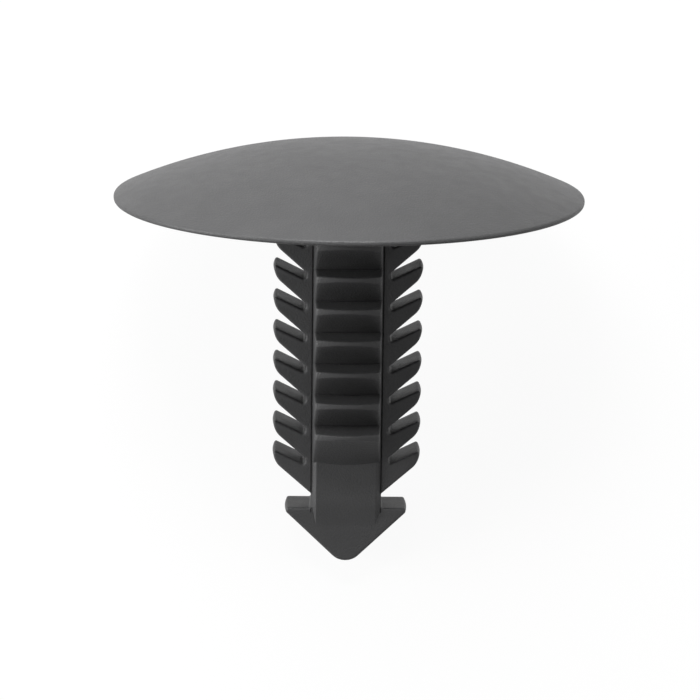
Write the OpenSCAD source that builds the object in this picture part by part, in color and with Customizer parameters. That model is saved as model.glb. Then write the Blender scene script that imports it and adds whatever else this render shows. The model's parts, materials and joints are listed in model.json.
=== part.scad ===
// Push-in spacer retainer: a domed head on a finned shank, moulded in one piece.
// It lies as it comes to rest, on the rim of its head and the point of its shank.

/* [Head] */
// Diameter of the domed head
head_d = 30; // [24:0.5:36]
// Height of the crown of the dome above the seat
head_h = 3.45; // [2.8:0.05:4.2]
// Thickness of the dome at its crown
head_wall = 1.3; // [1:0.1:1.6]
// Height of the upright edge of the rim
rim_t = 0.3; // [0.2:0.05:0.5]
// Width of the flat seat under the rim
seat_w = 0.7; // [0.4:0.1:1.2]

/* [Shank] */
// Length of the shank, from the seat to its point
shank_l = 24; // [23.8:0.1:27]
// Thickness of the flat plate that carries the side fins
plate_t = 2.7; // [2.4:0.1:3]
// Half of the width of the plate at its neck, above the barbs
neck_r = 2.3; // [2.24:0.02:2.4]
// How far the middle rib stands proud of the plate
rib_h = 0.25; // [0.15:0.05:0.4]
// Length over which the rib fades into the face of the point
rib_fade = 1.2; // [0.8:0.1:1.4]

/* [Side fins] */
// Number of fins on each side
fin_count = 8; // [5:1:8]
// Distance between one fin and the next
fin_pitch = 2.06; // [1.9:0.02:2.1]
// Distance from the seat to the top of the first fin
grip = 1.97; // [1.8:0.01:2.2]
// Reach of the fins from the axis
fin_r = 4.9; // [4.7:0.02:5.2]
// Height of the outer edge of a fin, before its corners are rounded
fin_edge = 0.88; // [0.8:0.02:0.94]
// Lean of the outer edge of a fin, inwards towards its lower corner, in degrees
fin_lean = 12.5; // [8:0.5:16]
// Rise of the upper face of a fin towards its tip, in degrees
fin_rise = 26; // [23:1:28]
// Slope of the underside of a fin, in degrees
fin_slope = 41.5; // [40:0.5:44]
// Height of the wall between one fin and the next
notch_wall = 0.48; // [0.4:0.02:0.6]
// Radius of the upper corner of a fin
fin_top_round = 0.13; // [0.1:0.01:0.16]
// Radius of the lower corner of a fin
fin_low_round = 1.65; // [1:0.05:1.8]

/* [Front and back teeth] */
// Reach of the teeth from the axis
tooth_r = 4.9; // [4.6:0.05:5.2]
// How far the upper faces of the teeth lie below the tips of the fins
tooth_drop = 0.1; // [0.04:0.01:0.2]
// Height of the edge of a tooth at its middle
tooth_edge = 0.27; // [0.2:0.01:0.4]
// Slope of the underside of a tooth, in degrees
tooth_slope = 38.5; // [37:0.5:40]
// Width of a tooth where it stands on the plate
tooth_w = 4.4; // [4.2:0.05:4.5]
// Taper of each side of a tooth towards its tip, in degrees
tooth_taper = 2.5; // [1:0.5:4]
// How far behind the axis the round undersides are centred
tooth_centre = 6.8; // [4:0.2:9]

/* [Arrow point] */
// Reach of the barbs from the axis
barb_r = 4; // [3.8:0.02:4.4]
// Height of the outer edge of a barb
barb_edge = 0.3; // [0.25:0.05:0.5]
// Slope of the sides of the point, in degrees
point_slope = 43.5; // [40:0.5:46]
// Width of the small flat at the end of the point
point_flat = 0.5; // [0.2:0.05:0.6]
// Radius of the corners beside that flat
point_round = 0.6; // [0.3:0.05:0.7]
// Radius of the corners of a barb
barb_round = 0.2; // [0.1:0.05:0.25]

/* [Hidden] */
$fn = 96;

nylon = "#2c2c2e";

// Radius of the small fillets in the notches between fins
notch_round = 0.15;
// Straight steps in each rounded corner of the outline
corner_steps = 5;

head_r = head_d / 2;
seat_r = head_r - seat_w;
plate_half = plate_t / 2;
rib_half = plate_half + rib_h;
tooth_count = fin_count - 1;

// Spheres of the dome: each passes through its crown and its edge at the rim
function cap_radius(r, h) = (r * r + h * h) / (2 * h);
dome_r = cap_radius(head_r, head_h - rim_t);
hollow_h = head_h - head_wall;
hollow_r = cap_radius(seat_r, hollow_h);

// The shank is rooted half way into the wall of the dome
root_z = hollow_h + head_wall / 2;

// Half of the width of the point at its end, before its corners are rounded, and where the barbs start
point_half = point_flat / 2 + point_round * tan(point_slope / 2);
barb_low = -shank_l + (barb_r - point_half) * tan(point_slope);
barb_top = barb_low + barb_edge;

// Top of a fin at its tip, the reach of its lower corner, and the depth at which the wall meets two fins
function fin_top(k) = -grip - k * fin_pitch;
fin_low_r = fin_r - fin_edge * tan(fin_lean);
notch_drop = fin_pitch - fin_edge - notch_wall + (fin_r - fin_low_r) * tan(fin_slope);
notch_depth = notch_drop / (tan(fin_slope) - tan(fin_rise));
notch_r = fin_r - notch_depth;
function tooth_top(k) = fin_top(k) - tooth_drop;

// Lying position: the outer edge of the seat and the flat at the end of the point touch the ground
lie = atan((head_r - plate_half) / shank_l);
ground = shank_l * sin(lie) + plate_half * cos(lie);
far_y = head_r * sin(lie) + rim_t * cos(lie);
near_y = -shank_l * cos(lie) - plate_half * sin(lie);

// Length that a rounded corner takes from each of its edges, per unit of radius
function corner_reach(angle) = 1 / tan(angle / 2);

// Lower corners of the fins and corners of the barbs, limited by the outer edge between two of them
edge_use = 0.98;
fin_top_reach = fin_top_round * corner_reach(90 - fin_rise - fin_lean);
fin_edge_use = edge_use * fin_edge / cos(fin_lean);
fin_low_limit = (fin_edge_use - fin_top_reach) / corner_reach(90 + fin_slope + fin_lean);
fin_low_fillet = min(fin_low_round, fin_low_limit);
barb_limit = edge_use * barb_edge / (corner_reach(90) + corner_reach(90 + point_slope));
barb_fillet = min(barb_round, barb_limit);

function unit(v) = v / norm(v);

// Arc of radius r that rounds the corner b of the path a, b, c
function rounded(a, b, c, r) =
    let (
        u = unit(a - b),
        v = unit(c - b),
        half = acos(u * v) / 2,
        centre = b + unit(u + v) * r / sin(half),
        from = b + u * r / tan(half) - centre,
        to = b + v * r / tan(half) - centre
    )
    [for (i = [0 : corner_steps]) centre + r * unit(from + (to - from) * i / corner_steps)];

// Drop of a fin's underside from its lower corner to a distance from the axis
function underside_drop(r) = (fin_low_r - r) * tan(fin_slope);

// Corners of one fin, from the wall above it to its lower edge, each as [point, radius]
function fin_corners(k) = [
    [[notch_r, fin_top(k) - notch_depth * tan(fin_rise)], notch_round],
    [[fin_r, fin_top(k)], fin_top_round],
    [[fin_low_r, fin_top(k) - fin_edge], fin_low_fillet]
];

// Corner where the underside of a fin meets the wall below it
function wall_corner(k) = [[notch_r, fin_top(k) - fin_edge - underside_drop(notch_r)], notch_round];

last_fin = fin_count - 1;
neck_top = fin_top(last_fin) - fin_edge - underside_drop(neck_r);

// Corners of the right half of the plate, from the head down to the point
side_corners = concat(
    [for (k = [0 : last_fin - 1]) each concat(fin_corners(k), [wall_corner(k)])],
    fin_corners(last_fin),
    [
        [[neck_r, neck_top], notch_round],
        [[neck_r, barb_top], notch_round],
        [[barb_r, barb_top], barb_fillet],
        [[barb_r, barb_low], barb_fillet],
        [[point_half, -shank_l], point_round]
    ]
);
plate_start = [notch_r, root_z];
plate_end = [0, -shank_l];
side_points = concat([plate_start], [for (c = side_corners) c[0]], [plate_end]);

// Rounded outline of the right half, from the head to the flat of the point
right_side = concat(
    [plate_start],
    [for (i = [0 : len(side_corners) - 1])
        each rounded(side_points[i], side_points[i + 1], side_points[i + 2], side_corners[i][1])]
);
left_side = [for (i = [len(right_side) - 1 : -1 : 0]) [-right_side[i][0], right_side[i][1]]];

// Turns an outline drawn in X and Z into a plate of the given thickness across Y
module upright(thickness) {
    rotate([90, 0, 0])
        linear_extrude(thickness, center = true)
            children();
}

// Shallow hollow dome with a flat seat round its rim
module head() {
    difference() {
        intersection() {
            translate([0, 0, head_h - dome_r])
                sphere(dome_r);
            cylinder(head_h, r = head_r);
        }
        translate([0, 0, hollow_h - hollow_r])
            sphere(hollow_r);
    }
}

// Flat plate with the side fins, the neck and the barbed point
module plate() {
    upright(plate_t)
        polygon(concat(right_side, left_side));
}

// Middle rib that runs from the head to the barbs, with bevelled edges, and fades into the point
module rib() {
    face_r = neck_r - rib_h;
    fade_drop = 2 * rib_fade;
    fade_w = barb_r - fade_drop / tan(point_slope);
    quarter = [[neck_r, plate_half], [face_r, rib_half]];
    section = concat(
        quarter,
        [for (p = [quarter[1], quarter[0]]) [-p[0], p[1]]],
        [for (p = quarter) -p],
        [for (p = [quarter[1], quarter[0]]) [p[0], -p[1]]]
    );
    hull() {
        translate([0, 0, barb_low])
            linear_extrude(root_z - barb_low)
                polygon(section);
        translate([0, 0, barb_low - fade_drop])
            linear_extrude(rib_h)
                square([fade_w, plate_t - 2 * rib_h], center = true);
    }
}

// Section of the teeth: level upper faces and sloping undersides
module tooth_section() {
    tip_r = tooth_r + tooth_centre + tooth_edge / tan(tooth_slope);
    foot_drop = tip_r * tan(tooth_slope);
    for (k = [0 : tooth_count - 1])
        polygon([[0, tooth_top(k)], [tip_r, tooth_top(k)], [0, tooth_top(k) - foot_drop]]);
}

// Half of the width of a tooth at a distance from the axis
function tooth_half(y) = tooth_w / 2 - (y - plate_half) * tan(tooth_taper);

// Teeth on the front face, with tapered sides and an edge that is round about the axis
module front_teeth() {
    clear_y = 2 * tooth_r;
    intersection() {
        translate([0, tooth_centre, 0])
            rotate_extrude()
                tooth_section();
        cylinder(2 * shank_l, r = tooth_r, center = true);
        linear_extrude(2 * shank_l, center = true)
            polygon([
                [-tooth_half(0), 0],
                [-tooth_half(clear_y), -clear_y],
                [tooth_half(clear_y), -clear_y],
                [tooth_half(0), 0]
            ]);
    }
}

// Whole moulding in its upright position, with the seat at height 0
module moulding() {
    head();
    plate();
    rib();
    front_teeth();
    mirror([0, 1, 0])
        front_teeth();
}

module retainer() {
    color(nylon)
        translate([0, -(far_y + near_y) / 2, ground])
            rotate([lie - 90, 0, 0])
                moulding();
}

retainer();
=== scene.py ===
"""Spacer retainer: a domed head on a finned, barbed shank, moulded in one piece from black nylon.

The object's own lengths are in millimetres, in its upright position: the seat under the rim of the head
is at height 0, the shank points down, and its front faces -Y. The frame's mount on the shank gives the
position in which the part lies.
"""
import json
import math

import bmesh
import bpy
from mathutils import Matrix, Vector

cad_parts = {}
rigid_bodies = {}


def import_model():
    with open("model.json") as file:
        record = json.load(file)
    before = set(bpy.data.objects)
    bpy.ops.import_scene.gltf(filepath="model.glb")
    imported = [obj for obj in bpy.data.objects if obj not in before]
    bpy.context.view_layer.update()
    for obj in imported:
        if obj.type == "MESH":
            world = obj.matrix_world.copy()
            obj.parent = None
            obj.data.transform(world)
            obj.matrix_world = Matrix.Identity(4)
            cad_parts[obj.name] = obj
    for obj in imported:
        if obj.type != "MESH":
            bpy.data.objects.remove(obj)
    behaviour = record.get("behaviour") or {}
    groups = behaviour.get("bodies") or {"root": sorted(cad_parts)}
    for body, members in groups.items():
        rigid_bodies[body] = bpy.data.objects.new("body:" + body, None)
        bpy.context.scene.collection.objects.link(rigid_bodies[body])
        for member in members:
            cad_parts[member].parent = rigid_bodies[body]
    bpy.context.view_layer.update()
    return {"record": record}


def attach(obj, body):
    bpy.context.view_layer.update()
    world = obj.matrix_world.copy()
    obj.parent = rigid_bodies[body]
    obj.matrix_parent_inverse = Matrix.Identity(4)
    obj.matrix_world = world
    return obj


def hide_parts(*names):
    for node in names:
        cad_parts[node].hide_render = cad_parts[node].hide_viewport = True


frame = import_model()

MM = 0.001

# Head
HEAD_R = 15.0
HEAD_H = 3.45
HEAD_WALL = 1.3
RIM_T = 0.3
SEAT_W = 0.7

# Shank
SHANK_L = 24.0
PLATE_HALF = 1.35
NECK_R = 2.3

# Middle rib, and how far its faded end lies under the face of the point
RIB_R = 2.2
RIB_H = 0.25
RIB_FADE = 1.2
RIB_SUNK = 0.01

# Side fins
FIN_COUNT = 8
FIN_PITCH = 2.06
GRIP = 1.97
FIN_R = 4.9
FIN_EDGE = 0.88
FIN_LEAN = math.radians(12.5)
FIN_RISE = math.radians(26)
FIN_SLOPE = math.radians(41.5)
NOTCH_WALL = 0.48
FIN_TOP_ROUND = 0.18
FIN_LOW_ROUND = 1.5
NOTCH_ROUND = 0.15

# Ends of the fins and barbs: the width that bows, and how far its front and back are drawn in
END_WIDTH = 0.7
END_BOW = 0.1

# Front and back teeth
TOOTH_COUNT = FIN_COUNT - 1
TOOTH_R = 4.9
TOOTH_DROP = 0.1
TOOTH_EDGE = 0.27
TOOTH_SLOPE = math.radians(38.5)
TOOTH_W = 4.4
TOOTH_TAPER = math.radians(2.5)
TOOTH_CENTRE = 6.8

# Arrow point
BARB_R = 4.0
BARB_EDGE = 0.3
BARB_ROUND = 0.2
POINT_SLOPE = math.radians(43.5)
POINT_FLAT = 0.04
POINT_ROUND = 1.18

# Small radii of the moulded edges
RIM_SOFT = 0.14
PLATE_SOFT = 0.16
RIB_SOFT = 0.08
TOOTH_SOFT = 0.12

# Crease at each foot of the rib
CREASE_W = 0.14
CREASE_DEPTH = 0.08

# Values that follow from the sizes
SEAT_R = HEAD_R - SEAT_W
HOLLOW_H = HEAD_H - HEAD_WALL
ROOT_Z = HOLLOW_H + HEAD_WALL / 2
RIB_HALF = PLATE_HALF + RIB_H
FIN_LOW_R = FIN_R - FIN_EDGE * math.tan(FIN_LEAN)
NOTCH_DROP = FIN_PITCH - FIN_EDGE - NOTCH_WALL + (FIN_R - FIN_LOW_R) * math.tan(FIN_SLOPE)
NOTCH_DEPTH = NOTCH_DROP / (math.tan(FIN_SLOPE) - math.tan(FIN_RISE))
NOTCH_R = FIN_R - NOTCH_DEPTH
POINT_HALF = POINT_FLAT / 2 + POINT_ROUND * math.tan(POINT_SLOPE / 2)
BARB_LOW = -SHANK_L + (BARB_R - POINT_HALF) * math.tan(POINT_SLOPE)
BARB_TOP = BARB_LOW + BARB_EDGE

# Fineness of the mesh
HEAD_SEGMENTS = 192
DOME_STEPS = 32
CORNER_STEPS = 8
SOFT_STEPS = 4
PLATE_STEPS = 6
FADE_STEPS = 12
TOOTH_STEPS = 20
UNDERSIDE_STEPS = 8
EDGE_TRIES = 6

# Angle from which an edge is sharp, and the length below which it counts as none
SHARP_ANGLE = math.radians(35)
SLIVER = 0.0005

# Range that nearly all of a noise lies in
NOISE_LOW = 0.3
NOISE_HIGH = 0.7

# Half of the width of the white sheet
FLOOR_HALF = 3000

# Soft lights: name, direction from the shank in its upright position, distance, size, and power in watts
LAMPS = (
    ("key", (-0.15, -0.28, 0.95), 300, 200, 0.48),
    ("head", (-0.1, -0.54, 0.83), 77, 30, 0.05),
    ("left", (-0.9, -0.35, 0.2), 250, 120, 0.5),
    ("edge", (-0.95, -0.15, -0.1), 250, 60, 0.2),
    ("right", (0.9, -0.35, 0.2), 250, 120, 0.15),
    ("front", (-0.1, -1, 0.15), 300, 150, 0.06),
)


def fin_top(k):
    """Height of the tip of fin k."""
    return -GRIP - k * FIN_PITCH


def underside_drop(r):
    """Drop of a fin's underside from its lower corner to a distance from the axis."""
    return (FIN_LOW_R - r) * math.tan(FIN_SLOPE)


def lying_matrix():
    """Turns millimetres in the upright position into the frame's metres, where the part lies."""
    mount = next(m for m in frame["record"]["mounts"] if m["name"] == "shank")
    up = -Vector(mount["axis"]).normalized()
    across = Vector((1, 0, 0))
    back = up.cross(across)
    turn = Matrix((across, back, up)).transposed().to_4x4()
    return Matrix.Translation(mount["pos_m"]) @ turn @ Matrix.Scale(MM, 4)


LYING = lying_matrix()


# Outlines

def rounded(a, b, c, radius, steps=CORNER_STEPS):
    """Arc of the given radius that rounds the corner b of the path a, b, c."""
    corner = Vector(b)
    u = (Vector(a) - corner).normalized()
    v = (Vector(c) - corner).normalized()
    half = u.angle(v) / 2
    centre = corner + (u + v).normalized() * radius / math.sin(half)
    start = (corner + u * radius / math.tan(half) - centre).normalized()
    end = (corner + v * radius / math.tan(half) - centre).normalized()
    return [centre + start.slerp(end, i / steps) * radius for i in range(steps + 1)]


def rounded_path(points, radii, steps=CORNER_STEPS):
    """The inner corners of an open path, each rounded by its radius."""
    arcs = []
    for i, radius in enumerate(radii):
        arcs += rounded(points[i], points[i + 1], points[i + 2], radius, steps)
    return arcs


def inset(outline, depth):
    """The closed clockwise outline, moved inwards by depth."""
    moved = []
    for i, point in enumerate(outline):
        before = (point - outline[i - 1]).normalized()
        after = (outline[(i + 1) % len(outline)] - point).normalized()
        n1 = Vector((before.y, -before.x))
        n2 = Vector((after.y, -after.x))
        moved.append(point + (n1 + n2) * depth / (1 + n1.dot(n2)))
    return moved


def soft_edge(radius, steps=SOFT_STEPS):
    """Steps round a soft edge, from its face to its side, as (depth from the face, inset of the side)."""
    for i in range(steps + 1):
        angle = math.radians(90) * i / steps
        yield radius * (1 - math.cos(angle)), radius * (1 - math.sin(angle))


# Meshes

def loft(bm, rings):
    """Closed skin over rings that have as many points each, with a flat cap at each end."""
    loops = [[bm.verts.new(p) for p in ring] for ring in rings]
    count = len(loops[0])
    for low, high in zip(loops, loops[1:]):
        for i in range(count):
            j = (i + 1) % count
            bm.faces.new((low[i], low[j], high[j], high[i]))
    caps = [bm.faces.new(loops[0]), bm.faces.new(loops[-1])]
    for cap in caps:
        cap.normal_update()
    bmesh.ops.triangulate(bm, faces=caps, ngon_method="EAR_CLIP")


def finish_mesh(bm, name):
    """An object with the mesh, its normals facing out."""
    bmesh.ops.recalc_face_normals(bm, faces=bm.faces)
    mesh = bpy.data.meshes.new(name)
    bm.to_mesh(mesh)
    bm.free()
    return bpy.data.objects.new(name, mesh)


def cap_radius(r, h):
    """Radius of the sphere whose cap is r wide and h high."""
    return (r * r + h * h) / (2 * h)


def cap_arc(top, radius, reach):
    """Points of a sphere's cap from its crown out to the given reach."""
    last = math.asin(reach / radius)
    for i in range(DOME_STEPS + 1):
        angle = last * i / DOME_STEPS
        yield Vector((radius * math.sin(angle), top - radius * (1 - math.cos(angle))))


def head():
    """Shallow hollow dome with a thin soft rim and a flat seat."""
    dome_reach = HEAD_R - 3 * RIM_SOFT
    dome = list(cap_arc(HEAD_H, cap_radius(HEAD_R, HEAD_H - RIM_T), dome_reach))
    hollow = list(cap_arc(HOLLOW_H, cap_radius(SEAT_R, HOLLOW_H), SEAT_R))
    rim = [dome[-1], (HEAD_R, RIM_T), (HEAD_R, 0), (SEAT_R, 0)]
    profile = dome + rounded_path(rim, (RIM_SOFT, RIM_SOFT), SOFT_STEPS) + hollow[::-1]
    bm = bmesh.new()
    crown = bm.verts.new((0, 0, profile[0].y))
    ceiling = bm.verts.new((0, 0, profile[-1].y))
    spokes = []
    for s in range(HEAD_SEGMENTS):
        angle = math.tau * s / HEAD_SEGMENTS
        spokes.append([
            bm.verts.new((p.x * math.cos(angle), p.x * math.sin(angle), p.y))
            for p in profile[1:-1]
        ])
    for s, spoke in enumerate(spokes):
        following = spokes[(s + 1) % HEAD_SEGMENTS]
        bm.faces.new((crown, spoke[0], following[0]))
        for i in range(len(spoke) - 1):
            bm.faces.new((spoke[i], spoke[i + 1], following[i + 1], following[i]))
        bm.faces.new((spoke[-1], ceiling, following[-1]))
    return finish_mesh(bm, "head")


def plate_outline():
    """Clockwise outline of the plate in X and Z, with its fins, neck, barbs and point."""
    points = [(NOTCH_R, ROOT_Z)]
    radii = []
    for k in range(FIN_COUNT):
        top = fin_top(k)
        inner_r = NOTCH_R if k < FIN_COUNT - 1 else NECK_R
        points += [
            (NOTCH_R, top - NOTCH_DEPTH * math.tan(FIN_RISE)),
            (FIN_R, top),
            (FIN_LOW_R, top - FIN_EDGE),
            (inner_r, top - FIN_EDGE - underside_drop(inner_r)),
        ]
        radii += [NOTCH_ROUND, FIN_TOP_ROUND, FIN_LOW_ROUND, NOTCH_ROUND]
    points += [(NECK_R, BARB_TOP), (BARB_R, BARB_TOP), (BARB_R, BARB_LOW)]
    radii += [NOTCH_ROUND, BARB_ROUND, BARB_ROUND]
    points += [(POINT_HALF, -SHANK_L), (0, -SHANK_L)]
    radii.append(POINT_ROUND)
    right = [Vector(points[0])] + rounded_path(points, radii)
    left = [Vector((-p.x, p.y)) for p in reversed(right)]
    return right + left


def bowed(p, y):
    """A point of the outline at depth y, drawn in so that the ends of fins and barbs bow outwards."""
    reach = FIN_R if p.y > BARB_TOP + BARB_ROUND else BARB_R
    share = max(0, 1 - (reach - abs(p.x)) / END_WIDTH)
    drawn_in = share ** 2 * END_BOW * (y / PLATE_HALF) ** 2
    return p.x - math.copysign(drawn_in, p.x), y, p.y


def plate():
    """Flat plate with soft edges on its front and back, and fins and barbs that end round."""
    outline = plate_outline()
    levels = [(depth - PLATE_HALF, inner) for depth, inner in soft_edge(PLATE_SOFT)]
    flat_half = PLATE_HALF - PLATE_SOFT
    levels += [(2 * flat_half * i / PLATE_STEPS - flat_half, 0) for i in range(1, PLATE_STEPS)]
    levels += [(PLATE_HALF - depth, inner) for depth, inner in reversed(list(soft_edge(PLATE_SOFT)))]
    bm = bmesh.new()
    loft(bm, [[bowed(p, y) for p in inset(outline, inner)] for y, inner in levels])
    return finish_mesh(bm, "plate")


def rib():
    """Middle rib from the head to the barbs, with bevelled sides, that fades into the point."""
    quarter = [(RIB_R, -PLATE_HALF), (RIB_R - RIB_H, -RIB_HALF)]
    front = quarter + [(-x, y) for x, y in reversed(quarter)]
    corners = front + [(-x, -y) for x, y in front]
    section = []
    for i, corner in enumerate(corners):
        section += rounded(corners[i - 1], corner, corners[(i + 1) % len(corners)], RIB_SOFT, SOFT_STEPS)
    fade_top = BARB_TOP + RIB_FADE / 2
    fade_length = fade_top - BARB_LOW + RIB_FADE
    thinning = 1 - (PLATE_HALF - RIB_SUNK) / RIB_HALF
    levels = [(ROOT_Z, 1)]
    for i in range(FADE_STEPS + 1):
        share = i / FADE_STEPS
        ease = share ** 2 * (3 - 2 * share)
        levels.append((fade_top - fade_length * share, 1 - thinning * ease))
    bm = bmesh.new()
    loft(bm, [[(p.x, p.y * thick, z) for p in section] for z, thick in levels])
    return finish_mesh(bm, "rib")


def crease(across, side):
    """Cutter for the crease at one foot of the rib."""
    face = PLATE_HALF + CREASE_DEPTH / 2
    bottom = (RIB_R + CREASE_W / 2, PLATE_HALF - CREASE_DEPTH)
    corners = [(RIB_R, face), bottom, (RIB_R + CREASE_W, face)]
    bm = bmesh.new()
    loft(bm, [[(across * x, side * y, z) for x, y in corners] for z in (BARB_LOW, -RIM_T)])
    return finish_mesh(bm, f"crease_{across}_{side}")


def tooth_half(y):
    """Half of the width of a tooth at a distance from the axis."""
    return TOOTH_W / 2 - (y - PLATE_HALF) * math.tan(TOOTH_TAPER)


def tooth_stations():
    """Sections across a tooth, as (share of the half width, step past it, inset of the section)."""
    ends = [(TOOTH_SOFT - inner, depth) for inner, depth in soft_edge(TOOTH_SOFT)]
    for step, depth in ends:
        yield -1, -step, depth
    for i in range(1, TOOTH_STEPS):
        yield 2 * i / TOOTH_STEPS - 1, 0, 0
    for step, depth in reversed(ends):
        yield 1, step, depth


def tooth_ring(top, share, step, depth):
    """One section of a tooth: its level upper face, rounded edge and sloping underside."""
    root_y = PLATE_HALF / 2

    def across(y):
        return share * (tooth_half(y) - TOOTH_SOFT) + step

    def underside(y):
        short = TOOTH_R + TOOTH_CENTRE - math.hypot(across(y), y + TOOTH_CENTRE)
        return top - TOOTH_EDGE - short * math.tan(TOOTH_SLOPE) + depth / math.cos(TOOTH_SLOPE)

    edge_y = TOOTH_R
    for _ in range(EDGE_TRIES):
        edge_y = math.sqrt((TOOTH_R - depth) ** 2 - across(edge_y) ** 2)
    slope_y = edge_y - 4 * TOOTH_SOFT
    corners = [
        (root_y, top - depth),
        (edge_y, top - depth),
        (edge_y, underside(edge_y)),
        (slope_y, underside(slope_y)),
    ]
    least_soft = TOOTH_SOFT / 10
    soft = max(TOOTH_SOFT - depth, least_soft)
    path = [Vector(corners[0])] + rounded_path(corners, (soft, soft), SOFT_STEPS)
    foot_from = path[-1].x
    for i in range(1, UNDERSIDE_STEPS + 1):
        y = foot_from + (root_y - foot_from) * i / UNDERSIDE_STEPS
        path.append(Vector((y, underside(y))))
    return [(across(p.x), p.x, p.y) for p in path]


def tooth(k, side):
    """Tooth k on the front (side -1) or the back (side 1)."""
    bm = bmesh.new()
    rings = [tooth_ring(fin_top(k) - TOOTH_DROP, *station) for station in tooth_stations()]
    loft(bm, [[(x, side * y, z) for x, y, z in ring] for ring in rings])
    return finish_mesh(bm, f"tooth_{k}_{side}")


def combine(body, operation, pieces):
    """Adds the pieces to the body, or cuts them from it, by a modifier, and gives their collection."""
    group = bpy.data.collections.new(operation.lower())
    for piece in pieces:
        group.objects.link(piece)
    bpy.context.scene.collection.children.link(group)
    step = body.modifiers.new(operation.lower(), "BOOLEAN")
    step.operation = operation
    step.solver = "MANIFOLD"
    step.operand_type = "COLLECTION"
    step.collection = group
    return group


def drop_slivers(mesh):
    """Takes out the faces without area that joining the pieces leaves."""
    bm = bmesh.new()
    bm.from_mesh(mesh)
    bmesh.ops.dissolve_degenerate(bm, dist=SLIVER, edges=bm.edges)
    bm.to_mesh(mesh)
    bm.free()


def moulding():
    """The head, plate, rib and teeth joined into one closed skin, with its creases cut, where it lies."""
    body = head()
    bpy.context.scene.collection.objects.link(body)
    teeth = [tooth(k, side) for k in range(TOOTH_COUNT) for side in (-1, 1)]
    creases = [crease(across, side) for across in (-1, 1) for side in (-1, 1)]
    joined = combine(body, "UNION", [plate(), rib()] + teeth)
    cut = combine(body, "DIFFERENCE", creases)
    depsgraph = bpy.context.evaluated_depsgraph_get()
    mesh = bpy.data.meshes.new_from_object(body.evaluated_get(depsgraph))
    for used in list(joined.objects) + list(cut.objects) + [body]:
        bpy.data.objects.remove(used)
    bpy.data.collections.remove(joined)
    bpy.data.collections.remove(cut)
    drop_slivers(mesh)
    mesh.transform(LYING)
    mesh.name = "retainer_moulding"
    piece = bpy.data.objects.new("retainer_moulding", mesh)
    bpy.context.scene.collection.objects.link(piece)
    return piece


def smooth(piece):
    """Smooth shading that keeps the creases and the flat faces."""
    piece.data.shade_smooth()
    piece.data.set_sharp_from_angle(angle=SHARP_ANGLE)
    normals = piece.modifiers.new("flat faces", "WEIGHTED_NORMAL")
    normals.keep_sharp = True


# Materials

def new_material(name):
    """An empty node material, with its node tree and its output."""
    material = bpy.data.materials.new(name)
    material.use_nodes = True
    tree = material.node_tree
    tree.nodes.clear()
    return material, tree, tree.nodes.new("ShaderNodeOutputMaterial")


def noise(tree, place, scale_mm, detail):
    """Noise whose grains are about scale_mm across."""
    node = tree.nodes.new("ShaderNodeTexNoise")
    node.inputs["Scale"].default_value = 1 / (scale_mm * MM)
    node.inputs["Detail"].default_value = detail
    tree.links.new(place.outputs["Object"], node.inputs["Vector"])
    return node.outputs["Fac"]


def between(tree, value, low, high, start=0, end=1):
    """A level that goes from low to high as the value goes from start to end."""
    level = tree.nodes.new("ShaderNodeMapRange")
    level.inputs["From Min"].default_value = start
    level.inputs["From Max"].default_value = end
    level.inputs["To Min"].default_value = low
    level.inputs["To Max"].default_value = high
    tree.links.new(value, level.inputs["Value"])
    return level.outputs["Result"]


def spread(tree, value, low, high):
    """The value of a noise, spread from low to high."""
    return between(tree, value, low, high, NOISE_LOW, NOISE_HIGH)


def nylon():
    """Charcoal-black moulded nylon: satin, with a fine eroded grain from the mould."""
    material, tree, output = new_material("nylon")
    place = tree.nodes.new("ShaderNodeTexCoord")
    shader = tree.nodes.new("ShaderNodeBsdfPrincipled")
    shader.inputs["Specular IOR Level"].default_value = 0.24
    tint = tree.nodes.new("ShaderNodeMix")
    tint.data_type = "RGBA"
    tint.inputs["A"].default_value = (0.056, 0.056, 0.057, 1)
    tint.inputs["B"].default_value = (0.062, 0.062, 0.063, 1)
    clouds = noise(tree, place, scale_mm=2.5, detail=3)
    tree.links.new(spread(tree, clouds, low=0, high=1), tint.inputs["Factor"])
    tree.links.new(tint.outputs["Result"], shader.inputs["Base Color"])
    sheen = noise(tree, place, scale_mm=0.9, detail=2)
    tree.links.new(spread(tree, sheen, low=0.43, high=0.49), shader.inputs["Roughness"])
    grain = tree.nodes.new("ShaderNodeBump")
    grain.inputs["Strength"].default_value = 0.8
    grain.inputs["Distance"].default_value = 0.04 * MM
    tree.links.new(noise(tree, place, scale_mm=0.12, detail=2), grain.inputs["Height"])
    tree.links.new(grain.outputs["Normal"], shader.inputs["Normal"])
    tree.links.new(shader.outputs["BSDF"], output.inputs["Surface"])
    return material


def seen_directly(tree):
    """1 where the camera, a reflection or a see-through surface shows this, and 0 for its light alone."""
    path = tree.nodes.new("ShaderNodeLightPath")
    total = path.outputs["Is Camera Ray"]
    for other in ("Is Glossy Ray", "Is Transmission Ray"):
        larger = tree.nodes.new("ShaderNodeMath")
        larger.operation = "MAXIMUM"
        tree.links.new(total, larger.inputs[0])
        tree.links.new(path.outputs[other], larger.inputs[1])
        total = larger.outputs[0]
    return total


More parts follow.
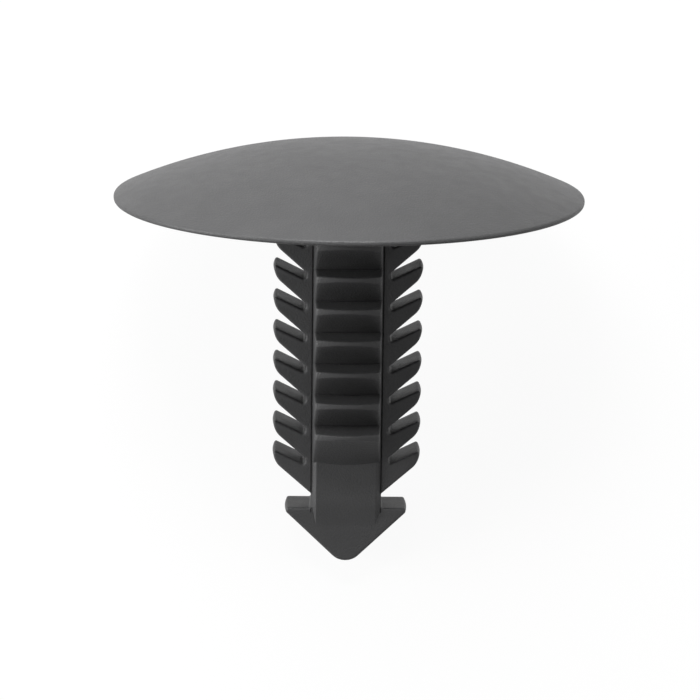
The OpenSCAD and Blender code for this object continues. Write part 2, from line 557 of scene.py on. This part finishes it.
def paper():
    """White sheet that shows white and still takes a faint shadow."""
    material, tree, output = new_material("paper")
    white_share = 0.94
    bounce = 0.08
    shown = 0.85
    sheet = tree.nodes.new("ShaderNodeBsdfDiffuse")
    glow = tree.nodes.new("ShaderNodeEmission")
    glow.inputs["Color"].default_value = (1, 1, 1, 1)
    glow.inputs["Strength"].default_value = 1
    share = tree.nodes.new("ShaderNodeMath")
    share.operation = "MULTIPLY"
    share.inputs[1].default_value = white_share
    seen = seen_directly(tree)
    tree.links.new(between(tree, seen, bounce, shown), sheet.inputs["Color"])
    tree.links.new(seen, share.inputs[0])
    mix = tree.nodes.new("ShaderNodeMixShader")
    tree.links.new(share.outputs[0], mix.inputs["Fac"])
    tree.links.new(sheet.outputs["BSDF"], mix.inputs[1])
    tree.links.new(glow.outputs["Emission"], mix.inputs[2])
    tree.links.new(mix.outputs["Shader"], output.inputs["Surface"])
    return material


# Studio

def floor():
    """Wide white sheet that the part lies on."""
    bm = bmesh.new()
    bmesh.ops.create_grid(bm, x_segments=1, y_segments=1, size=FLOOR_HALF * MM)
    sheet = finish_mesh(bm, "floor")
    sheet.data.materials.append(paper())
    bpy.context.scene.collection.objects.link(sheet)


def world():
    """Soft pale surround: a little light on the part, and full strength where it is seen."""
    surround = bpy.data.worlds.new("studio")
    surround.use_nodes = True
    tree = surround.node_tree
    tree.nodes.clear()
    output = tree.nodes.new("ShaderNodeOutputWorld")
    background = tree.nodes.new("ShaderNodeBackground")
    strength = between(tree, seen_directly(tree), low=0.05, high=1)
    tree.links.new(strength, background.inputs["Strength"])
    tree.links.new(background.outputs["Background"], output.inputs["Surface"])
    bpy.context.scene.world = surround


def lamp(name, direction, distance, size, power):
    """Square soft light, in a direction from the part in its upright position, aimed at the shank."""
    data = bpy.data.lights.new(name, "AREA")
    data.size = size * MM
    data.energy = power
    middle = Vector((0, 0, -SHANK_L / 2))
    place = LYING @ (middle + Vector(direction).normalized() * distance)
    light = bpy.data.objects.new(name, data)
    light.location = place
    light.rotation_euler = (LYING @ middle - place).to_track_quat("-Z", "Y").to_euler()
    bpy.context.scene.collection.objects.link(light)


def camera():
    """Camera at the photograph's angle: a little above the seat and straight in front."""
    yaw = math.radians(-0.742)
    height = math.radians(14.616)
    roll = math.radians(0.686)
    distance = 164.5
    target = Vector((0, 0, -10.8))
    aim_right = 0.173
    aim_up = 0.745
    back = Vector((math.sin(yaw) * math.cos(height), -math.cos(yaw) * math.cos(height), math.sin(height)))
    right = Vector((math.cos(yaw), math.sin(yaw), 0))
    up = right.cross(-back)
    place = target + back * distance
    aim = target + right * aim_right + up * aim_up
    back = (place - aim).normalized()
    right = (right - back * right.dot(back)).normalized()
    up = back.cross(right)
    tilted = Matrix((right, up, back)).transposed() @ Matrix.Rotation(roll, 3, "Z")
    data = bpy.data.cameras.new("camera")
    data.lens = 130.16
    data.sensor_width = 36
    data.clip_start = MM
    view = bpy.data.objects.new("camera", data)
    view.matrix_world = Matrix.LocRotScale(
        LYING @ place, (LYING.to_3x3().normalized() @ tilted).to_quaternion(), None
    )
    bpy.context.scene.collection.objects.link(view)
    bpy.context.scene.camera = view


def main():
    """Builds the part and its studio."""
    bpy.context.scene.view_settings.view_transform = "Standard"
    camera()
    piece = moulding()
    smooth(piece)
    piece.data.materials.clear()
    piece.data.materials.append(nylon())
    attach(piece, "root")
    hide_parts("retainer")
    floor()
    world()
    for settings in LAMPS:
        lamp(*settings)


main()
